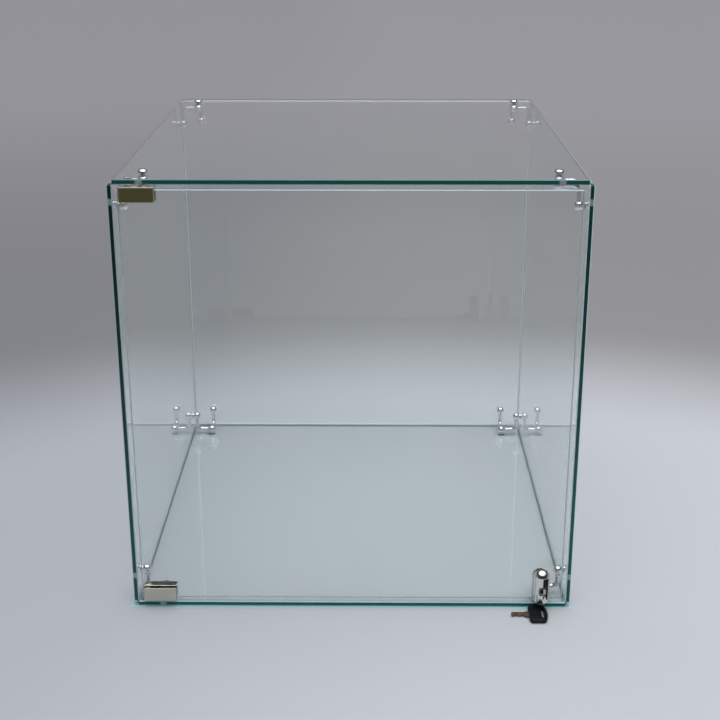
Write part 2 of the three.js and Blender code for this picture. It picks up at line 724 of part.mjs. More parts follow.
/** Flat blade that tapers to its tip, with cuts along the front edge. */
function keyBlade() {
  const half = keyBladeWidth / 2;
  const tipHalf = keyTipWidth / 2;
  const taperEnd = -keyShoulder - keyTaper;
  const tipCentre = -keyBladeReach + tipHalf;
  const outline = new THREE.Shape();
  outline.moveTo(keyBladeGrip, half);
  outline.lineTo(-keyShoulder, half);
  outline.lineTo(taperEnd, tipHalf);
  outline.lineTo(tipCentre, tipHalf);
  outline.absarc(tipCentre, 0, tipHalf, Math.PI / 2, 1.5 * Math.PI);
  keyCutDepths.forEach((depth, i) => {
    const start = tipCentre + keyNose + i * keyCutPitch;
    outline.lineTo(start, -tipHalf);
    outline.lineTo(start + keyCutRun, -tipHalf + depth);
    outline.lineTo(start + 2 * keyCutRun, -tipHalf + depth);
  });
  outline.lineTo(taperEnd, -tipHalf);
  outline.lineTo(-keyShoulder, -half);
  outline.lineTo(keyBladeGrip, -half);
  outline.closePath();
  return slab(outline, keyBladeThickness, keyBladeBevel, 4)
    .translate(0, 0, (keyBowThickness - keyBladeThickness) / 2);
}

const key = new THREE.Group();
key.position.set(lockX - keyShift, keyMiddleY, 0);
group.add(key);
addPiece(key, 'key_bow', keyBow(), 'blackPlastic');
addPiece(key, 'key_blade', keyBlade(), 'brass');

// ---- Panels, cut last so that every fitting has marked its holes ------------------------------

for (const [name, panel] of Object.entries(panels)) {
  const piece = addPiece(group, name === 'door' ? 'door_glass' : `${name}_panel`,
    glassPlate(panel), 'glass');
  face(piece, panel.outward, panel.up).position.copy(panel.centre);
}

export default group;
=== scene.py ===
"""Looks of the pedestal display case: glass plates, chrome connectors, hinges, lock and key.

Shapes are written in millimetres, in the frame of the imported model, and built in metres.
"""
import json
import math

import bmesh
import bpy
import numpy as np
from mathutils import Matrix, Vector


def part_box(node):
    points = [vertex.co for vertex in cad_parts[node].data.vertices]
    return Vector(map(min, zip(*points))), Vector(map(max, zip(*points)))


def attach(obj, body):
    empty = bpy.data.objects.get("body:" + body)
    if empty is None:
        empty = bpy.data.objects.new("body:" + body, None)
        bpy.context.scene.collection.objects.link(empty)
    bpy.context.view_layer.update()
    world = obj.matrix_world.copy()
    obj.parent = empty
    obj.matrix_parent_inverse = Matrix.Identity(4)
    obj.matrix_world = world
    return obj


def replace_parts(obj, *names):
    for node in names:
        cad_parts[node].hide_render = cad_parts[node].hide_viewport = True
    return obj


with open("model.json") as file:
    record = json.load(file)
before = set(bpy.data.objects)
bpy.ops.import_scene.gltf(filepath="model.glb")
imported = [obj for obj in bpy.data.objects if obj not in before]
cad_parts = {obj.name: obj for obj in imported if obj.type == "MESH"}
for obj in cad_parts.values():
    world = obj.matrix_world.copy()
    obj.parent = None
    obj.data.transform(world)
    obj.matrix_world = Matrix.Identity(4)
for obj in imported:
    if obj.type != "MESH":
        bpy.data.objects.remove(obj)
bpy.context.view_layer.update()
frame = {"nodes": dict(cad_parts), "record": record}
body_of = {node: body for body, nodes in frame["record"]["behaviour"]["bodies"].items()
           for node in nodes}

MM = 0.001
X, Y, Z = np.eye(3)

# ---- Sizes of the case, in millimetres ---------------------------------------------------------

GLASS = 5.0                             # thickness of every plate
ARRIS = 0.8                             # width of its ground arrises
CORNER = 1.1                            # round of its four corners
FIT = 0.3                               # running gap between two pieces
HALF = 225.0                            # half the outer width and depth
INNER = 220.0                           # inner faces of the side and back panels
FLOOR, CEILING = 5.0, 445.0             # inner faces of the bottom and top panels
DOOR_FRONT, DOOR_BACK = -225.0, -220.0  # faces of the door
HUB = 195.0                             # hub balls, left and right of the middle
HUB_FRONT, HUB_BACK = -200.0, 195.0     # hub balls, front and back
INSET = 25.0                            # connector balls from the panel beside them
STANDOFF = 5.6                          # a ball's centre from its panel
SHANK = 1.8                             # radius of the connector screws
BORE = SHANK + FIT
SINK, SINK_DEPTH = 4.6, 2.2             # widened mouths of the flush screws' holes
PIVOT = (-206.0, -216.5)                # x and y of the hinge pins
PIVOT_HOLE = 3.3
LOCK_X, LOCK_Z = 194.5, 24.0            # axis of the key barrel
LOCK_HOLE = 6.7
SCREW_XS = (LOCK_X - 4.8, LOCK_X + 4.8)
SCREW_Z = LOCK_Z + 10.0                 # the two screws of the lock
STRIKE_Y, STRIKE_HOLE = -214.25, 4.0    # bush that takes the bolt


# ---- Shapes ------------------------------------------------------------------------------------

def rounded(points, sizes, steps=4):
    """A line whose corners are cut back by their sizes and bridged by quadratic curves.

    With a and b the ends of a cut and c its corner, p(t) = (1-t)^2 a + 2t(1-t) c + t^2 b.
    """
    points = np.array(points, float)
    sizes = np.broadcast_to(sizes, len(points))
    t = np.linspace(0, 1, steps + 1)[:, None]
    line = [points[:1]]
    for before, corner, after, size in zip(points, points[1:], points[2:], sizes[1:]):
        a = corner + (before - corner) * size / np.linalg.norm(before - corner)
        b = corner + (after - corner) * size / np.linalg.norm(after - corner)
        line.append((1 - t)**2 * a + 2 * t * (1 - t) * corner + t**2 * b
                    if size else corner[None])
    return np.vstack(line + [points[-1:]])


def arc(centre, radius, start, end, steps):
    """Points c + r (cos a, sin a), with a from start to end in degrees."""
    angle = np.radians(np.linspace(start, end, steps + 1))
    return np.array(centre) + radius * np.stack([np.cos(angle), np.sin(angle)], axis=1)


def frame_outline(x1, y1, x2, y2, radius, steps):
    """Rectangle between two corners, its own corners quarter circles of one radius."""
    return np.vstack([arc((x, y), radius, start, start + 90, steps) for x, y, start in (
        (x2 - radius, y1 + radius, -90), (x2 - radius, y2 - radius, 0),
        (x1 + radius, y2 - radius, 90), (x1 + radius, y1 + radius, 180))])


def threads(low, high, radius, pitch=0.7, depth=0.2):
    """Profile of a screw thread: heights from low to high, radii r and r - depth by turns."""
    count = 2 * int((high - low) / pitch) + 1
    return np.stack([np.linspace(low, high, count), radius - depth * (np.arange(count) % 2)],
                    axis=1)


def square_to(axis):
    """Two directions u, v square to an axis, with u x v along it."""
    helper = X if abs(axis[2]) > 0.9 else Z
    u = np.cross(helper, axis)
    u /= np.linalg.norm(u)
    return u, np.cross(axis, u)


def rim(thickness, edge, steps=4):
    """Rows (inset, height) of a plate whose two rims are quarter circles of radius edge."""
    angle = np.radians(np.linspace(0, 90, steps + 1))
    low = np.stack([edge * (1 - np.sin(angle)), edge * (1 - np.cos(angle))], axis=1)
    return np.vstack([low, [0, thickness] + low[::-1] * [1, -1]])


def mitred(outline):
    """For each corner of a closed outline, the outward step m = (n1 + n2) / (1 + n1 n2).

    n1 and n2 are the normals of its two edges, so outline - d m is the outline inset by d.
    """
    edge = np.roll(outline, -1, axis=0) - outline
    after = np.stack([edge[:, 1], -edge[:, 0]], axis=1)
    after /= np.linalg.norm(after, axis=1)[:, None]
    before = np.roll(after, 1, axis=0)
    return (before + after) / (1 + (before * after).sum(axis=1))[:, None]


class Shell:
    """Gathers grids of points, in millimetres, into one mesh of closed skins."""

    def __init__(self):
        self.points, self.faces, self.total = [], [], 0

    def skin(self, grid, caps=False):
        """Joins rows of rings into faces; caps closes the two end rings by flat faces."""
        rows, columns = grid.shape[:2]
        index = np.arange(rows * columns).reshape(rows, columns) + self.total
        ring = np.hstack([index, index[:, :1]])
        quads = np.stack([ring[:-1, :-1], ring[:-1, 1:], ring[1:, 1:], ring[1:, :-1]], axis=-1)
        self.faces += quads.reshape(-1, 4).tolist()
        if caps:
            self.faces += [index[0, ::-1].tolist(), index[-1].tolist()]
        self.points.append(grid.reshape(-1, 3))
        self.total += rows * columns
        return self

    def carry(self, profile, centre, u, v, sides=48):
        """Rings c + r (u cos a + v sin a) for profile rows (s, r) or (s, r, h).

        With h = 1 the ring is a hexagon: r is scaled by cos 30 / cos((a mod 60) - 30).
        """
        angle = np.arange(sides) * 2 * math.pi / sides
        hexagon = math.cos(math.pi / 6) / np.cos(angle % (math.pi / 3) - math.pi / 6)
        share = profile[:, 2:3] if profile.shape[1] > 2 else np.zeros((len(profile), 1))
        radius = (profile[:, 1:2] * (1 + share * (hexagon - 1)))[:, :, None]
        c, u, v = (np.broadcast_to(a, (len(profile), 3))[:, None] for a in (centre, u, v))
        return self.skin(c + radius * (u * np.cos(angle)[:, None] + v * np.sin(angle)[:, None]))

    def turn(self, profile, base, axis, sides=48):
        """Profile (height, radius) turned about an axis through base: c = base + s axis."""
        profile = np.array(profile, float)
        u, v = square_to(axis)
        return self.carry(profile, np.array(base, float) + profile[:, :1] * axis, u, v, sides)

    def slab(self, outline, rows, place):
        """Plate: place(x, y, height) of the outline inset by each of the rows (inset, height)."""
        outline = np.array(outline, float)
        flat = outline - rows[:, :1, None] * mitred(outline)
        height = np.broadcast_to(rows[:, 1:2], flat.shape[:2])
        return self.skin(np.stack(place(flat[..., 0], flat[..., 1], height), axis=-1), caps=True)

    def box(self, low, high):
        """Block between two corners."""
        (x1, y1, z1), (x2, y2, z2) = low, high
        square = [(x1, y1), (x2, y1), (x2, y2), (x1, y2)]
        return self.skin(np.array([[(x, y, z) for x, y in square] for z in (z1, z2)]), caps=True)

    def build(self, name, crease=32):
        """Mesh object with its normals outward, smooth except where faces meet sharply."""
        mesh = bpy.data.meshes.new(name)
        mesh.from_pydata((np.vstack(self.points) * MM).tolist(), [], self.faces)
        work = bmesh.new()
        work.from_mesh(mesh)
        bmesh.ops.remove_doubles(work, verts=work.verts, dist=1e-6)
        bmesh.ops.recalc_face_normals(work, faces=work.faces)
        work.to_mesh(mesh)
        work.free()
        piece = bpy.data.objects.new(name, mesh)
        bpy.context.scene.collection.objects.link(piece)
        return settle(piece, crease)


def settle(piece, crease):
    """Writes a piece's modifiers into its mesh, smooth except where faces meet sharply.

    A point's normal is the mean of its faces' normals by area, so flat faces stay flat.
    """
    graph = bpy.context.evaluated_depsgraph_get()
    piece.data = bpy.data.meshes.new_from_object(piece.evaluated_get(graph))
    piece.modifiers.clear()
    piece.data.shade_smooth()
    piece.data.set_sharp_from_angle(angle=math.radians(crease))
    piece.modifiers.new("normals", "WEIGHTED_NORMAL").keep_sharp = True
    graph = bpy.context.evaluated_depsgraph_get()
    piece.data = bpy.data.meshes.new_from_object(piece.evaluated_get(graph))
    piece.modifiers.clear()
    return piece


def carve(piece, cutters, crease=32):
    """Takes each cutter's solid out of a piece, and writes the result into its mesh."""
    tools = [cutter.build(f"{piece.name}_cutter") for cutter in cutters]
    for tool in tools:
        cut = piece.modifiers.new("cut", "BOOLEAN")
        cut.operation, cut.solver, cut.object = "DIFFERENCE", "EXACT", tool
    settle(piece, crease)
    for tool in tools:
        bpy.data.objects.remove(tool)
    return piece


def fit_out(piece, body, slot, *looks):
    """Gives a piece its materials and its body. The slot is not used."""
    for look in looks:
        piece.data.materials.append(look)
    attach(piece, body)
    return piece


def dress(piece, node, slot, *looks):
    """Fits out a piece that stands for a CAD node."""
    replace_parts(fit_out(piece, body_of[node], slot, *looks), node)


def corners(node):
    """Lowest and highest corner of a CAD node, in millimetres."""
    return (np.array(corner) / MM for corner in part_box(node))


# ---- Materials ---------------------------------------------------------------------------------

def paint(red, green, blue):
    """Linear colour of an sRGB value given as bytes: ((c + 0.055) / 1.055)^2.4."""
    return tuple(((c / 255 + 0.055) / 1.055)**2.4 for c in (red, green, blue)) + (1.0,)


class Shade:
    """One output socket of a node tree, with arithmetic that adds Math nodes."""

    def __init__(self, tree, socket=None):
        self.tree, self.socket = tree, socket

    def node(self, kind, settings=None, inputs=None, output=0):
        """Adds a node: its settings first, then socket values or links, by name or number."""
        made = self.tree.nodes.new(f"ShaderNode{kind}")
        for key, value in (settings or {}).items():
            setattr(made, key, value)
        for key, value in (inputs or {}).items():
            if isinstance(value, Shade):
                self.tree.links.new(value.socket, made.inputs[key])
            else:
                made.inputs[key].default_value = value
        return Shade(self.tree, made.outputs[output] if len(made.outputs) else None)

    def math(self, operation, *others):
        return self.node("Math", {"operation": operation}, dict(enumerate((self, *others))))

    def back(self, operation, other):
        return self.node("Math", {"operation": operation}, {0: other, 1: self})

    def __add__(self, other): return self.math("ADD", other)
    def __sub__(self, other): return self.math("SUBTRACT", other)
    def __mul__(self, other): return self.math("MULTIPLY", other)
    def __radd__(self, other): return self.back("ADD", other)
    def __rsub__(self, other): return self.back("SUBTRACT", other)
    def __rmul__(self, other): return self.back("MULTIPLY", other)
    def __abs__(self): return self.math("ABSOLUTE")

    def step(self, low, high):
        """Smooth step from 0 at low to 1 at high; low may be the larger."""
        return self.node("MapRange", {"interpolation_type": "SMOOTHSTEP"},
                         {0: self, 1: low, 2: high})

    def span(self, low, high):
        """Takes 0..1 to low..high, held at both ends."""
        return self.node("MapRange", {}, {0: self, 3: low, 4: high})

    def mix(self, first, second):
        """Colour first * (1 - f) + second * f, with this value as f."""
        return self.node("Mix", {"data_type": "RGBA"}, {0: self, 6: first, 7: second}, 2)

    def noise(self, scale, detail=2.0, roughness=0.5, stretch=(1, 1, 1)):
        """Noise at this position, which is first scaled by stretch."""
        place = self.node("Mapping", {}, {"Vector": self, "Scale": stretch})
        return place.node("TexNoise", {}, {"Vector": place, "Scale": scale, "Detail": detail,
                                           "Roughness": roughness})

    def axes(self):
        """The three coordinates of this vector."""
        split = self.tree.nodes.new("ShaderNodeSeparateXYZ")
        self.tree.links.new(self.socket, split.inputs[0])
        return [Shade(self.tree, socket) for socket in split.outputs]

    def bump(self, distance, strength=1.0):
        """Normal of a surface raised by this height times distance, in metres."""
        return self.node("Bump", {}, {"Height": self, "Distance": distance,
                                      "Strength": strength})


def material(name):
    """Empty node material: the material, a shade to add nodes with, and its position in metres."""
    look = bpy.data.materials.new(name)
    look.use_nodes = True
    look.node_tree.nodes.clear()
    start = Shade(look.node_tree)
    return look, start, start.node("TexCoord", output=3)


def dark_end(start, x, y, low, high):
    """Share of the studio's dark end at x, y, which gloss shows and clear glass doesn't.

    t = 0.2 |x| - y rises from low to high, mostly towards the front.
    """
    mirrored = start.node("LightPath", output=3) * start.node("LightPath", output=5)
    return (abs(x) * 0.2 - y).step(low, high) * mirrored


def finish(start, surface):
    """Links a shader to the material's output."""
    start.node("OutputMaterial", {}, {"Surface": surface})


def principled(start, **values):
    """Principled shader; underscores in the names of its sockets stand for spaces."""
    return start.node("BsdfPrincipled", {},
                      {key.replace("_", " "): value for key, value in values.items()})


def clear_glass():
    """Polished float glass: faintly uneven tint and waviness, and shadows that let light by."""
    look, start, place = material("glass_clear")
    tint = place.noise(9, 1).mix(paint(252, 254, 254), paint(250, 254, 253))
    wave = place.noise(14, 1).bump(0.00002, 0.4)
    body = principled(start, Base_Color=tint, Roughness=0.0, IOR=1.5, Transmission_Weight=1.0,
                      Normal=wave)
    through = start.node("BsdfTransparent", {}, {"Color": paint(252, 253, 253)})
    shadow = start.node("LightPath", output=1)
    finish(start, start.node("MixShader", {}, {0: shadow, 1: body, 2: through}))
    return look


# Edge of each panel: core low down and high up, arris bands, then the colours that it takes away
# from the front, at the sides and along the back. The arris bands are the ground glass's pale with
# painted highlight on top, brighter on the right panel than the left, and a painted glow along the
# bottom panel's arrises, whose lower one faces into shade; the colours away from the front are
# painted light that lifts edges which get little light.
EDGE_COLOURS = {
    "bottom_panel": ((14, 90, 100), (14, 90, 100), (190, 252, 255), (74, 104, 105),
                     (240, 248, 249)),
    "top_panel": ((12, 92, 90), (12, 92, 90), (104, 136, 140), (120, 128, 132), (114, 122, 126)),
    "left_panel": ((16, 82, 84), (2, 46, 44), (180, 210, 213), (160, 170, 174), (160, 170, 174)),
    "right_panel": ((16, 92, 94), (8, 62, 63), (216, 255, 255), (160, 170, 174), (160, 170, 174)),
    "back_panel": ((190, 218, 224), (190, 218, 224), (190, 218, 224), (230, 238, 241),
                   (230, 238, 241)),
    "door_glass": ((112, 132, 132), (112, 132, 132), (202, 216, 218), (168, 180, 184),
                   (168, 180, 184)),
}


def glass_edge(node, axis, middle, marks):
    """Ground edge: dark core, pale arris bands where |w - middle| > 1.7 mm, light at fittings.

    marks are (axis, position, half width) of the places where a fitting shows in the front edge;
    there the edge takes a painted pale break. Each panel has its own colours, partly painted
    light: highlight and glow in the arris bands, and lifted tones away from the front. A smooth
    step in height leads from the low core to the high one.
    """
    look, start, place = material(f"glass_edge_{node}")
    low_core, high_core, pale, *rear = (paint(*colour) for colour in EDGE_COLOURS[node])
    axes = place.axes()
    front = axes[1].step(-212 * MM, -221 * MM)
    off = abs(axes[axis] - middle * MM)
    band = off.step(1.55 * MM, 1.85 * MM)
    grain = place.noise(420, 3, 0.6)
    cloud = place.noise(22, 2)
    brighter = tuple(min(1, 1.15 * c) for c in pale[:3]) + (1.0,)
    upright = (axes[2] + cloud * 0.1 - 0.05).step(0.02, 0.34)
    colour = upright.mix(low_core, high_core)
    # Painted pale breaks where a fitting shows through the front edge.
    for mark_axis, position, half in marks:
        near = abs(axes[mark_axis] - position * MM).step(half * MM, 0.45 * half * MM)
        colour = (near * 0.8).mix(colour, paint(168, 186, 188))
    # Painted light: edges away from the front, which get little light, take lifted tones, whiter
    # still along the arrises.
    behind = axes[1].step(217 * MM, 219.5 * MM)
    away = (band * 0.15).mix(behind.mix(*rear), paint(236, 242, 244))
    colour = front.mix(away, band.mix(colour, grain.mix(pale, brighter)))
    finish(start, principled(start, Base_Color=colour, Roughness=grain.span(0.16, 0.34),
                             IOR=1.45, Normal=grain.bump(0.00002, 0.5)))
    return look


def plated(name, colour, low, high, scale=180, stretch=(1, 1, 1), depth=0.000004):
    """Metal with a faintly mottled polish: roughness from low to high, and a fine grain."""
    look, start, place = material(name)
    grain = place.noise(scale, 3, 0.6, stretch)
    cloud = place.noise(35, 2)
    darker = tuple(c * 0.93 for c in colour[:3]) + (1.0,)
    finish(start, principled(start, Base_Color=cloud.mix(colour, darker), Metallic=1.0,
                             Roughness=(grain * 0.6 + cloud * 0.4).span(low, high),
                             Normal=grain.bump(depth, 0.5)))
    return look


def moulded(name, colour, second, low, high, scale, depth):
    """Plastic or fibre: two close colours, with roughness and relief from the same grain."""
    look, start, place = material(name)
    grain = place.noise(scale, 4, 0.65)
    cloud = place.noise(60, 2)
    finish(start, principled(start, Base_Color=cloud.mix(colour, second),
                             Specular_IOR_Level=0.3, Roughness=grain.span(low, high),
                             Normal=grain.bump(depth, 0.6)))
    return look


def worn_brass():
    """Key blade: brown patina, brighter where it rubs, with fine scratches along x."""
    look, start, place = material("brass_worn")
    cloud = place.noise(160, 4, 0.6)
    scratch = place.noise(240, 3, 0.6, (0.12, 1, 1))
    worn = (cloud * 0.6 + scratch * 0.4).step(0.42, 0.62)
    finish(start, principled(start, Base_Color=worn.mix(paint(104, 82, 70), paint(150, 126, 108)),
                             Metallic=worn.span(0.75, 1.0), Roughness=scratch.span(0.28, 0.5),
                             Normal=scratch.bump(0.00001, 0.5)))
    return look


glass = clear_glass()
chrome = plated("chrome_bright", paint(232, 233, 235), low=0.02, high=0.09)
polished = plated("chrome_polished", paint(232, 231, 230), low=0.02, high=0.1, scale=90)
satin = plated("steel_satin", paint(206, 201, 188), low=0.07, high=0.15, scale=260,
               stretch=(0.08, 1, 1), depth=0.000008)
steel = plated("steel_plain", paint(178, 180, 182), low=0.22, high=0.4, scale=300,
               stretch=(1, 0.2, 1), depth=0.000008)
nylon = moulded("nylon_white", paint(232, 230, 224), paint(222, 219, 211), low=0.35, high=0.55,
                scale=260, depth=0.00002)
fibre = moulded("fibre_dark", paint(44, 45, 46), paint(36, 36, 38), low=0.7, high=0.9,
                scale=420, depth=0.00006)
plastic = moulded("plastic_black", paint(8, 8, 10), paint(13, 13, 15), low=0.3, high=0.45,
                  scale=340, depth=0.00004)
brass = worn_brass()


# ---- Glass panels ------------------------------------------------------------------------------

PLATE_CREASE = 8


def hole(base, axis, radius, sink=None):
    """Cutter for a hole through a plate from base along axis, with eased rims.

    A sunk hole widens to its sink radius over the last SINK_DEPTH.
    """
    ease, past = 0.3, 1.0
    mouth = GLASS + past
    wide = ([(GLASS - SINK_DEPTH, radius), (GLASS, sink), (mouth, sink)] if sink else
            [(GLASS - ease, radius), (GLASS, radius + ease), (mouth, radius + ease)])
    return Shell().turn([(-past, 0), (-past, radius + ease), (0, radius + ease), (ease, radius)]
                        + wide + [(mouth, 0)], base, axis)


def plate(node, axis, holes, marks=()):
    """Glass plate over a CAD panel's box: flat faces clear, ground edges in their own material."""
    low, high = corners(node)
    across = [i for i in range(3) if i != axis]
    (a1, b1), (a2, b2) = low[across], high[across]
    outline = frame_outline(a1, b1, a2, b2, CORNER, 4)
    inside = 3.0
    rows = rounded([(inside, 0), (ARRIS, 0), (0, ARRIS), (0, GLASS - ARRIS), (ARRIS, GLASS),
                    (inside, GLASS)], 0.12, 2)[1:-1]

    def place(a, b, height):
        point = [None] * 3
        point[across[0]], point[across[1]], point[axis] = a, b, height + low[axis]
        return point

    piece = Shell().slab(outline, rows, place).build(f"{node}_look", PLATE_CREASE)
    piece.data.materials.append(glass)
    piece.data.materials.append(glass_edge(node, axis, (low[axis] + high[axis]) / 2, marks))
    carve(piece, holes, PLATE_CREASE)
    mesh = piece.data
    normals = np.empty(3 * len(mesh.polygons))
    mesh.polygons.foreach_get("normal", normals)
    ground = (np.abs(normals.reshape(-1, 3)[:, axis]) < 0.999).astype(np.int32)
    mesh.polygons.foreach_set("material_index", ground)
    dress(piece, node, "glass")


ENDS = {"front": HUB_FRONT, "back": HUB_BACK}
SIDES = {"left": -1, "right": 1}
LEVELS = {"bottom": (FLOOR, Z), "top": (CEILING, -Z)}
MARK = ARRIS + 3.4
side_marks = [(2, 35.0, MARK), (2, 428.5, MARK)]
level_marks = [(0, -HUB, MARK), (0, HUB, MARK)]
door_marks = [(0, LOCK_X, 9.0), (0, PIVOT[0] + 8, 18.0)]

plate("bottom_panel", 2,
      [hole((s * HUB, y, FLOOR), -Z, BORE, SINK) for s in SIDES.values() for y in ENDS.values()]
      + [hole((*PIVOT, FLOOR), -Z, PIVOT_HOLE), hole((LOCK_X, STRIKE_Y, FLOOR), -Z, STRIKE_HOLE)],
      level_marks)
plate("top_panel", 2,
      [hole((s * HUB, y, CEILING), Z, BORE) for s in SIDES.values() for y in ENDS.values()]
      + [hole((*PIVOT, CEILING), Z, PIVOT_HOLE)],
      level_marks)
for side, s in SIDES.items():
    plate(f"{side}_panel", 0,
          [hole((s * INNER, y, level + INSET * up[2]), s * X, BORE, SINK)
           for y in ENDS.values() for level, up in LEVELS.values()],
          side_marks)
plate("back_panel", 1,
      [hole((s * HUB, INNER, level + INSET * up[2]), Y, BORE, SINK)
       for s in SIDES.values() for level, up in LEVELS.values()])
plate("door_glass", 1,
      [hole((LOCK_X, DOOR_BACK, LOCK_Z), -Y, LOCK_HOLE)]
      + [hole((x, DOOR_BACK, SCREW_Z), -Y, 2.0) for x in SCREW_XS],
      door_marks)


# ---- Connectors and their screws ---------------------------------------------------------------

BALL, SEAT = 4.75, 3.2                  # radii of a ball and of its foot
LEG = INSET - STANDOFF
BEND = 7.0                              # radius of an arm's bend
STRAIGHT = LEG - BEND
TURN = BEND * math.pi / 2
ARM = 2 * STRAIGHT + TURN
NECK, ROD = 1.6, 2.4                    # radii of an arm at its ends and along it

seat_end = -math.sqrt(BALL**2 - SEAT**2)
ball_profile = np.vstack([
    rounded([(-1, 0), (-1, BORE), (FIT - STANDOFF, BORE), (FIT - STANDOFF, SEAT),
             (seat_end - 0.35, SEAT), (seat_end + 0.1, 3.0)], (0, 0, 0.15, 0.2, 0.12, 0))[:-1],
    arc((0, 0), BALL, 180 - math.degrees(math.acos(-seat_end / BALL)) - 3, 0, 22),
])

bend_rows = np.linspace(STRAIGHT, STRAIGHT + TURN, 13)
rod_start = 6.0
arm_end = rounded([(3.6, 2.2), (4.6, 1.85), (5.1, NECK), (rod_start, NECK), (rod_start, ROD),
                   (rod_start + 1, ROD)], (0, 0.3, 0.3, 0.15, 0.3, 0), 3)
arm_profile = np.vstack([arm_end, np.stack([bend_rows, np.full_like(bend_rows, ROD)], axis=1),
                         (arm_end * [-1, 1] + [ARM, 0])[::-1]])


def arm(shell, hub, out, up):
    """Bent rod from a hub ball: straight out, a quarter turn, and straight up to its end ball.

    With a = clip((s - straight) / bend, 0, 90 deg), the centre line is
    out (min(s, straight) + bend sin a) + up (bend (1 - cos a) + the rest of s).
    """
    s = arm_profile[:, :1]
    angle = np.clip((s - STRAIGHT) / BEND, 0, math.pi / 2)
    ahead = np.minimum(s, STRAIGHT) + BEND * np.sin(angle)
    rise = BEND * (1 - np.cos(angle)) + np.maximum(s - STRAIGHT - TURN, 0)
    inward = up * np.cos(angle) - out * np.sin(angle)
    return shell.carry(arm_profile, hub + out * ahead + up * rise, inward, np.cross(out, up), 32)


shank_tip = -(GLASS + 4.6 - FIT)


def screw_shank(end):
    """Profile of a threaded shank from its eased tip to the height end."""
    return [(shank_tip, 0), (shank_tip, SHANK - 0.5), *threads(shank_tip + 0.4, end, SHANK)]


def with_hexagon(plain, hexagon):
    """Profile rows (s, r, h): h is 0 in the plain rows and 1 in the hexagonal ones."""
    return np.array([(*row, 0) for row in plain] + [(*row, 1) for row in hexagon])


def flush_profile(tip_rows, sink_start, radius, socket, depth):
    """Flat-headed screw: shank, cone, flat face at -FIT, and a hexagonal socket."""
    return with_hexagon(
        [*tip_rows, (sink_start, tip_rows[-1][1]), (-FIT - 0.14, radius - 0.03),
         (-FIT, radius - 0.16), (-FIT, socket + 0.22)],
        [(-FIT - 0.16, socket), (-FIT - depth, socket * 0.96), (-FIT - depth, 0)])


flush_screw = flush_profile(screw_shank(-2.3), sink_start=-2.2, radius=4.0, socket=1.1, depth=1.3)
DOME, DOME_RISE, DOME_START = 5.0, 3.2, 1.6
dome_screw = np.vstack([
    screw_shank(FIT),
    rounded([(FIT, SHANK), (FIT, 3.3), (1.1, 3.3), (1.1, DOME), (DOME_START, DOME)],
            (0, 0.15, 0.15, 0.3, 0)),
    arc((0, 0), 1, 0, 90, 16)[:, ::-1][1:] * [DOME_RISE, DOME] + [DOME_START, 0],
])

for level, (face, up) in LEVELS.items():
    for side, s in SIDES.items():
        for end, y in ENDS.items():
            corner = f"{end}_{side}_{level}"
            seat = np.array([s * HUB, y, face])
            hub = seat + STANDOFF * up
            shell = Shell().turn(ball_profile, hub, up)
            seats = {level: (seat, -up)}
            for panel, out in {side: s * X, **({"back": Y} if end == "back" else {})}.items():
                tip = hub + LEG * (out + up)
                arm(shell, hub, out, up)
                shell.turn(ball_profile, tip, -out)
                seats[panel] = (tip + STANDOFF * out, out)
            dress(shell.build(f"connector_{corner}_look"), f"connector_{corner}", "chrome",
                  chrome)
            for panel, (seat, out) in seats.items():
                domed = panel == "top"
                name = f"{'cap_screw' if domed else 'screw'}_{panel}_panel_{corner}"
                screw = Shell().turn(dome_screw if domed else flush_screw,
                                     seat + GLASS * out, out)
                dress(screw.build(f"{name}_look"), name, "chrome", chrome)


# ---- Hinges ------------------------------------------------------------------------------------

def ring(bore, wall, barrel, flange, height):
    """Profile of a flanged bush: barrel below its seat, flange above, open bore."""
    outer = bore + wall
    return rounded([(0, bore), (-barrel, bore), (-barrel, outer), (FIT, outer), (FIT, flange),
                    (FIT + height, flange), (FIT + height, bore), (0, bore)],
                   (0, 0.15, 0.2, 0.1, 0.15, 0.3, 0.2, 0))


SLOT = (DOOR_FRONT - FIT, DOOR_BACK + FIT)
HINGE_X = (PIVOT[0] - 8.5, PIVOT[0] + 25.5)
HINGE_Y = (SLOT[0] - 3.0, SLOT[1] + 8.7)
HINGE_Z = (2.0, 16.6)
PLATE_X = (PIVOT[0] + 8.3 - FIT, PIVOT[0] + 22.7 + FIT)
CLAMP_Y, CLAMP_Z = SLOT[1] + 1.2, 9.5
CLAMP_XS = [PIVOT[0] + 15.5 + dx for dx in (-3.7, 3.7)]
CLAMP_R = 1.9

hinge_outline = frame_outline(HINGE_X[0], HINGE_Y[0], HINGE_X[1], HINGE_Y[1], 2.5, 8)
hinge_rim = rim(HINGE_Z[1] - HINGE_Z[0], 0.6) + [0, HINGE_Z[0]]
ease = 0.35
slot_section = [(SLOT[0], 4.2), (SLOT[1], 4.2), (SLOT[1], HINGE_Z[1] - ease),
                (SLOT[1] + ease, HINGE_Z[1]), (SLOT[1] + ease, 30), (SLOT[0] - ease, 30),
                (SLOT[0] - ease, HINGE_Z[1]), (SLOT[0], HINGE_Z[1] - ease)]

pivot_ring = ring(BORE, wall=0.9, barrel=4.5, flange=4.5, height=1.4)
reach = HINGE_Y[1] - CLAMP_Y - 2 * FIT
clamp_screw = with_hexagon(
    [(0, 0), (0, 1.5), (0.3, CLAMP_R), *threads(0.4, reach - 0.5, CLAMP_R),
     (reach - 0.2, CLAMP_R), (reach, 1.7), (reach, 1.3)],
    [(reach - 0.15, 1.1), (reach - 1.3, 1.06), (reach - 1.3, 0)])

